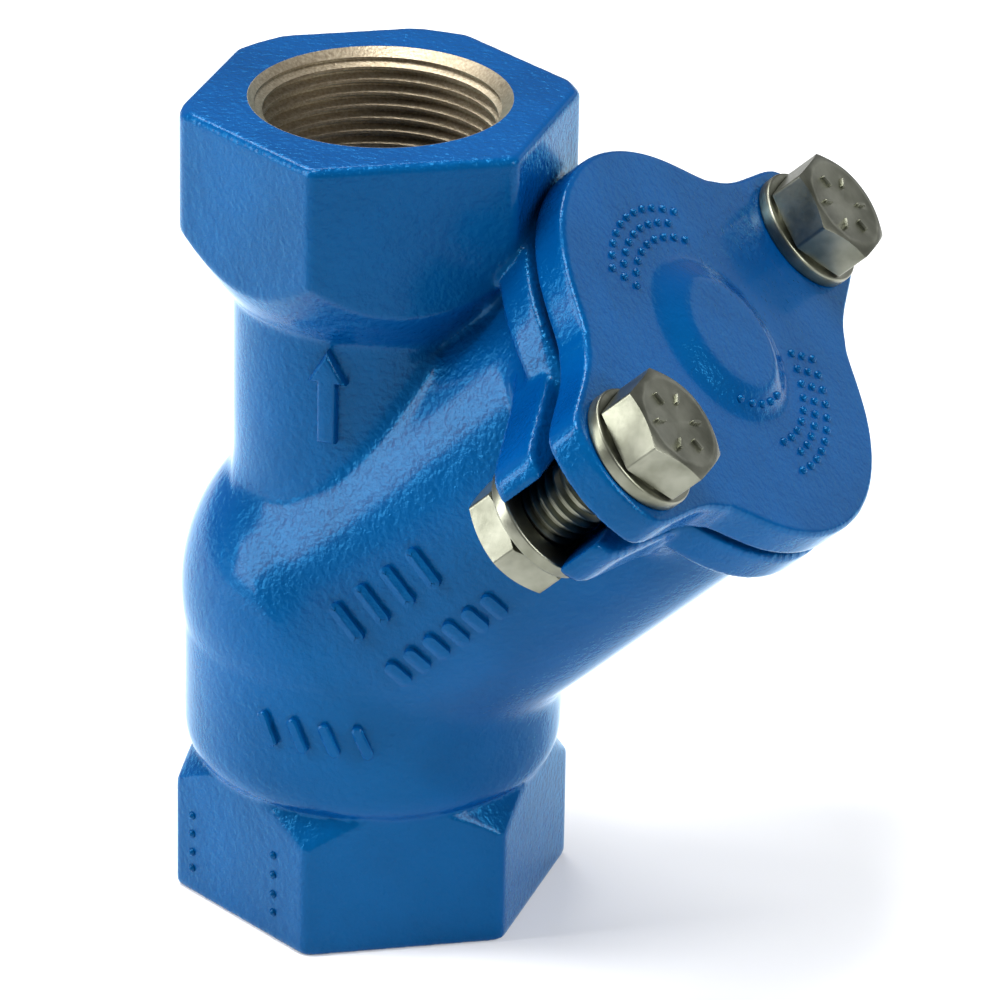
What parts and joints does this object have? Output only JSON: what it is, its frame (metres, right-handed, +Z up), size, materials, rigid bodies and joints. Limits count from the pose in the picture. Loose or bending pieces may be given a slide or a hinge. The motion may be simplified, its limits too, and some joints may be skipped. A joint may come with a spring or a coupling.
{
  "type": "ball check valve",
  "caption": "Threaded Y-pattern ball check valve: upright pipe body with hexagon ends, inclined ball chamber and a cover held by hexagon bolts; a coated ball lifts off a conical seat.",
  "frame": {"origin": "centre of the inlet face, on the pipe axis", "axes": "+Z up the pipe axis from the inlet to the outlet; +X towards the side the inclined branch leans to; XZ is the plane of symmetry"},
  "size_m": [0.1176, 0.1166, 0.144],
  "materials": {
    "blue_epoxy": "glossy blue epoxy coat on cast iron",
    "gasket_rubber": "matt black",
    "core_aluminium": "satin",
    "ball_rubber": "smooth black",
    "zinc_steel": "zinc-plated steel"
  },
  "bodies": {
    "valve": {"body": "blue_epoxy", "cover": "blue_epoxy", "cover_gasket": "gasket_rubber", "bolt_front": "zinc_steel", "bolt_rear": "zinc_steel", "head_washer_front": "zinc_steel", "head_washer_rear": "zinc_steel"},
    "ball": {"ball_core": "core_aluminium", "ball_coating": "ball_rubber"},
    "washer_front": {"nut_washer_front": "zinc_steel"},
    "washer_rear": {"nut_washer_rear": "zinc_steel"},
    "nut_front": {"nut_front": "zinc_steel"},
    "nut_rear": {"nut_rear": "zinc_steel"}
  },
  "joints": [
    {"name": "ball_lift", "type": "slide", "parent": "valve", "child": "ball", "axis": [0.7314, 0, 0.682], "range_m": [0, 0.053]},
    {"name": "washer_front_slide", "type": "slide", "parent": "valve", "child": "washer_front", "axis": [-0.7314, 0, -0.682], "range_m": [0, 0.007]},
    {"name": "nut_front_turn", "type": "hinge", "parent": "washer_front", "child": "nut_front", "pos_m": [0.04388, -0.0468, 0.09492], "axis": [-0.7314, 0, -0.682], "range_deg": [0, 1440]},
    {"name": "washer_rear_slide", "type": "slide", "parent": "valve", "child": "washer_rear", "axis": [-0.7314, 0, -0.682], "range_m": [0, 0.007]},
    {"name": "nut_rear_turn", "type": "hinge", "parent": "washer_rear", "child": "nut_rear", "pos_m": [0.04388, 0.0468, 0.09492], "axis": [-0.7314, 0, -0.682], "range_deg": [0, 1440]}
  ],
  "couplings": [
    {"joint": "washer_front_slide", "follows": "nut_front_turn", "m_per_rad": 0.00027852},
    {"joint": "washer_rear_slide", "follows": "nut_rear_turn", "m_per_rad": 0.00027852}
  ]
}
